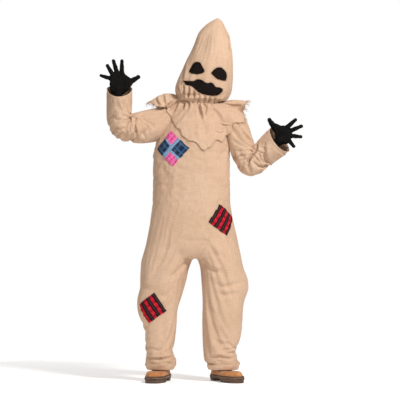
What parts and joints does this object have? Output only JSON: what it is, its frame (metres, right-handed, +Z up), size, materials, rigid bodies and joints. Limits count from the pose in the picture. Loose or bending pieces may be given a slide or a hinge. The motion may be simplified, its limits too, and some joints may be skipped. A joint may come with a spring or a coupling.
{
  "type": "scarecrow figure",
  "caption": "Life-size standing scarecrow in a baggy burlap suit and pointed hood, with ragged collar, patches, gloves and boots, over a posable steel armature",
  "frame": {"origin": "On the floor, at the middle of the figure's width and depth", "axes": "+X to the figure's left, +Y to its back so that the face looks along -Y, +Z up"},
  "size_m": [1.0573, 0.3431, 1.9],
  "materials": {
    "burlap": "coarse plain-woven jute, undyed, matt",
    "stuffing": "loose pale fibre fill in a thin lining",
    "steel": "drawn mild-steel tube and rod, satin",
    "zinc": "bright zinc-plated steel",
    "nylon": "black moulded nylon",
    "black_knit": "fine black knit",
    "black_gauze": "thin black see-through cloth, stretched flat",
    "suede": "tan suede with a short nap",
    "sole_rubber": "dark brown moulded rubber, matt",
    "plaid_blue": "brushed cotton pieced from four plaid squares, two pink and two navy",
    "tartan_red": "brushed cotton in a red and black check with thin green lines"
  },
  "bodies": {
    "frame": {"sole_right": "sole_rubber", "sole_left": "sole_rubber", "boot_upper_right": "suede", "boot_upper_left": "suede", "foot_plate_right": "steel", "foot_plate_left": "steel", "frame_screws": "zinc", "shin_tube_right": "steel", "shin_tube_left": "steel", "knee_coupling_right": "zinc", "knee_coupling_left": "zinc", "thigh_tube_right": "steel", "thigh_tube_left": "steel", "hip_bracket": "zinc", "spine_tube": "steel", "shoulder_bar": "zinc", "shoulder_bracket_right": "zinc", "shoulder_bracket_left": "zinc", "shoulder_bolt_right": "zinc", "shoulder_bolt_left": "zinc", "neck_post": "steel", "torso_stuffing": "stuffing", "leg_stuffing_right": "stuffing", "leg_stuffing_left": "stuffing", "jumpsuit_torso": "burlap", "trouser_leg_right": "burlap", "trouser_leg_left": "burlap", "collar": "burlap", "chest_patch": "plaid_blue", "hip_patch": "tartan_red", "knee_patch": "tartan_red"},
    "neck": {"neck_swivel": "zinc", "neck_bolt": "zinc"},
    "head": {"head_tube": "steel", "head_form": "stuffing", "hood": "burlap", "eye_panel_right": "black_gauze", "eye_panel_left": "black_gauze", "mouth_panel": "black_gauze"},
    "upper_arm_right": {"upper_arm_tube_right": "steel", "elbow_bolt_right": "zinc", "upper_arm_padding_right": "stuffing", "sleeve_upper_right": "burlap"},
    "forearm_right": {"forearm_tube_right": "steel", "wrist_bush_right": "nylon", "forearm_padding_right": "stuffing", "sleeve_lower_right": "burlap"},
    "hand_right": {"hand_armature_right": "steel", "glove_right": "black_knit"},
    "upper_arm_left": {"upper_arm_tube_left": "steel", "elbow_bolt_left": "zinc", "upper_arm_padding_left": "stuffing", "sleeve_upper_left": "burlap"},
    "forearm_left": {"forearm_tube_left": "steel", "wrist_bush_left": "nylon", "forearm_padding_left": "stuffing", "sleeve_lower_left": "burlap"},
    "hand_left": {"hand_armature_left": "steel", "glove_left": "black_knit"}
  },
  "joints": [
    {"name": "neck_turn", "type": "hinge", "parent": "frame", "child": "neck", "pos_m": [-0.004, 0.016, 1.452], "axis": [0, 0, 1], "range_deg": [-50, 50]},
    {"name": "head_tilt", "type": "hinge", "parent": "neck", "child": "head", "pos_m": [-0.004, 0.016, 1.452], "axis": [0, 1, 0], "range_deg": [-20, 4]},
    {"name": "shoulder_right", "type": "hinge", "parent": "frame", "child": "upper_arm_right", "pos_m": [-0.212, 0.022, 1.37], "axis": [-0.4924, 0.8704, 0], "range_deg": [-35, 12]},
    {"name": "elbow_right", "type": "hinge", "parent": "upper_arm_right", "child": "forearm_right", "pos_m": [-0.42427, -0.09809, 1.31504], "axis": [-0.4924, 0.8704, 0], "range_deg": [-75, 8]},
    {"name": "wrist_right", "type": "hinge", "parent": "forearm_right", "child": "hand_right", "pos_m": [-0.42427, -0.09809, 1.52004], "axis": [0, 0, 1], "range_deg": [-70, 70]},
    {"name": "shoulder_left", "type": "hinge", "parent": "frame", "child": "upper_arm_left", "pos_m": [0.178, 0.022, 1.37], "axis": [-0.2588, -0.9659, 0], "range_deg": [-1, 50]},
    {"name": "elbow_left", "type": "hinge", "parent": "upper_arm_left", "child": "forearm_left", "pos_m": [0.25781, 0.00061, 1.13405], "axis": [-0.2588, -0.9659, 0], "range_deg": [-75, 4]},
    {"name": "wrist_left", "type": "hinge", "parent": "forearm_left", "child": "hand_left", "pos_m": [0.41554, -0.04165, 1.25799], "axis": [0.7694, -0.2062, 0.6046], "range_deg": [-70, 70]}
  ]
}
